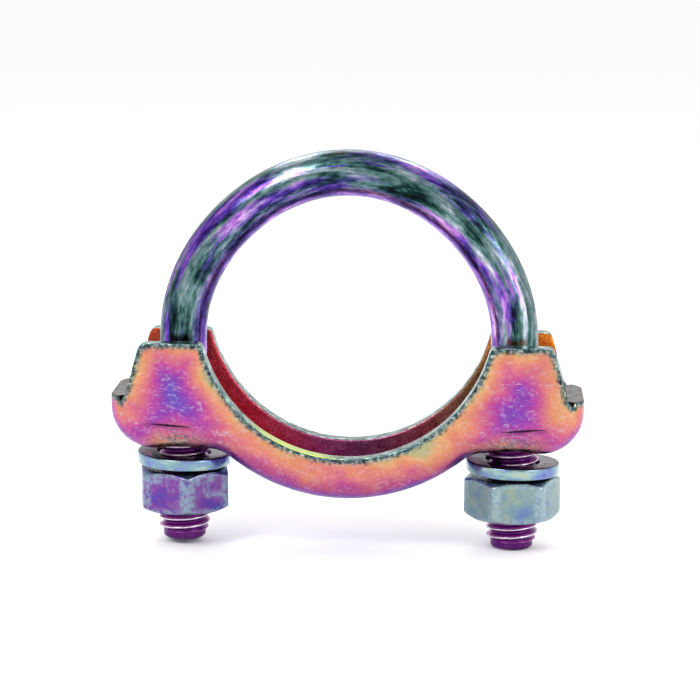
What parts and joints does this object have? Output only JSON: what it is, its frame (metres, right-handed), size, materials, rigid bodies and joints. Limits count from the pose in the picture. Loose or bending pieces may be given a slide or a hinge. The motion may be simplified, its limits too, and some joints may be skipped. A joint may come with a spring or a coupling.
{
  "type": "u-bolt pipe clamp",
  "caption": "U-bolt pipe clamp: a bent round bar with threaded legs, a pressed channel saddle, spring washers and hexagon nuts that draw the saddle up to the pipe.",
  "frame": {"origin": "centre of the bow of the U-bolt, on the axis of the clamped pipe, midway between the saddle's flanges", "axes": "+Y along the pipe, from the front flange to the back flange; +X from the left leg to the right leg; +Z from the saddle towards the bow, so the legs point down"},
  "size_m": [0.071, 0.0164, 0.0605],
  "materials": {
    "plated_bar": "cold drawn steel bar, yellow chromate over bright zinc, dark iridescent",
    "plated_sheet": "pressed steel sheet, yellow chromate over bright zinc, magenta to gold iridescence",
    "plated_nut": "forged steel nut, thin chromate over bright zinc, violet to silver iridescence",
    "plated_washer": "spring steel, thin chromate over bright zinc, silver blue"
  },
  "bodies": {
    "u_bolt": {"u_bolt": "plated_bar"},
    "saddle": {"saddle": "plated_sheet"},
    "left_washer": {"left_spring_washer": "plated_washer"},
    "right_washer": {"right_spring_washer": "plated_washer"},
    "left_nut": {"left_nut": "plated_nut"},
    "right_nut": {"right_nut": "plated_nut"}
  },
  "joints": [
    {"name": "left_washer_travel", "type": "slide", "parent": "u_bolt", "child": "left_washer", "axis": [0, 0, -1], "range_m": [-0.01, 0.00625]},
    {"name": "right_washer_travel", "type": "slide", "parent": "u_bolt", "child": "right_washer", "axis": [0, 0, -1], "range_m": [-0.01, 0.00625]},
    {"name": "left_nut_turn", "type": "hinge", "parent": "left_washer", "child": "left_nut", "pos_m": [-0.02505, 0, -0.0233], "axis": [0, 0, -1], "range_deg": [-2880, 1800]},
    {"name": "right_nut_turn", "type": "hinge", "parent": "right_washer", "child": "right_nut", "pos_m": [0.02505, 0, -0.02385], "axis": [0, 0, -1], "range_deg": [-2880, 1800]},
    {"name": "saddle_slide", "type": "slide", "parent": "left_washer", "child": "saddle", "axis": [0, 0, 1], "range_m": [-0.0007, 0.008]}
  ],
  "couplings": [
    {"joint": "right_washer_travel", "follows": "left_washer_travel", "ratio": 1},
    {"joint": "left_nut_turn", "follows": "left_washer_travel", "rad_per_m": 5026.5},
    {"joint": "right_nut_turn", "follows": "left_washer_travel", "rad_per_m": 5026.5}
  ]
}
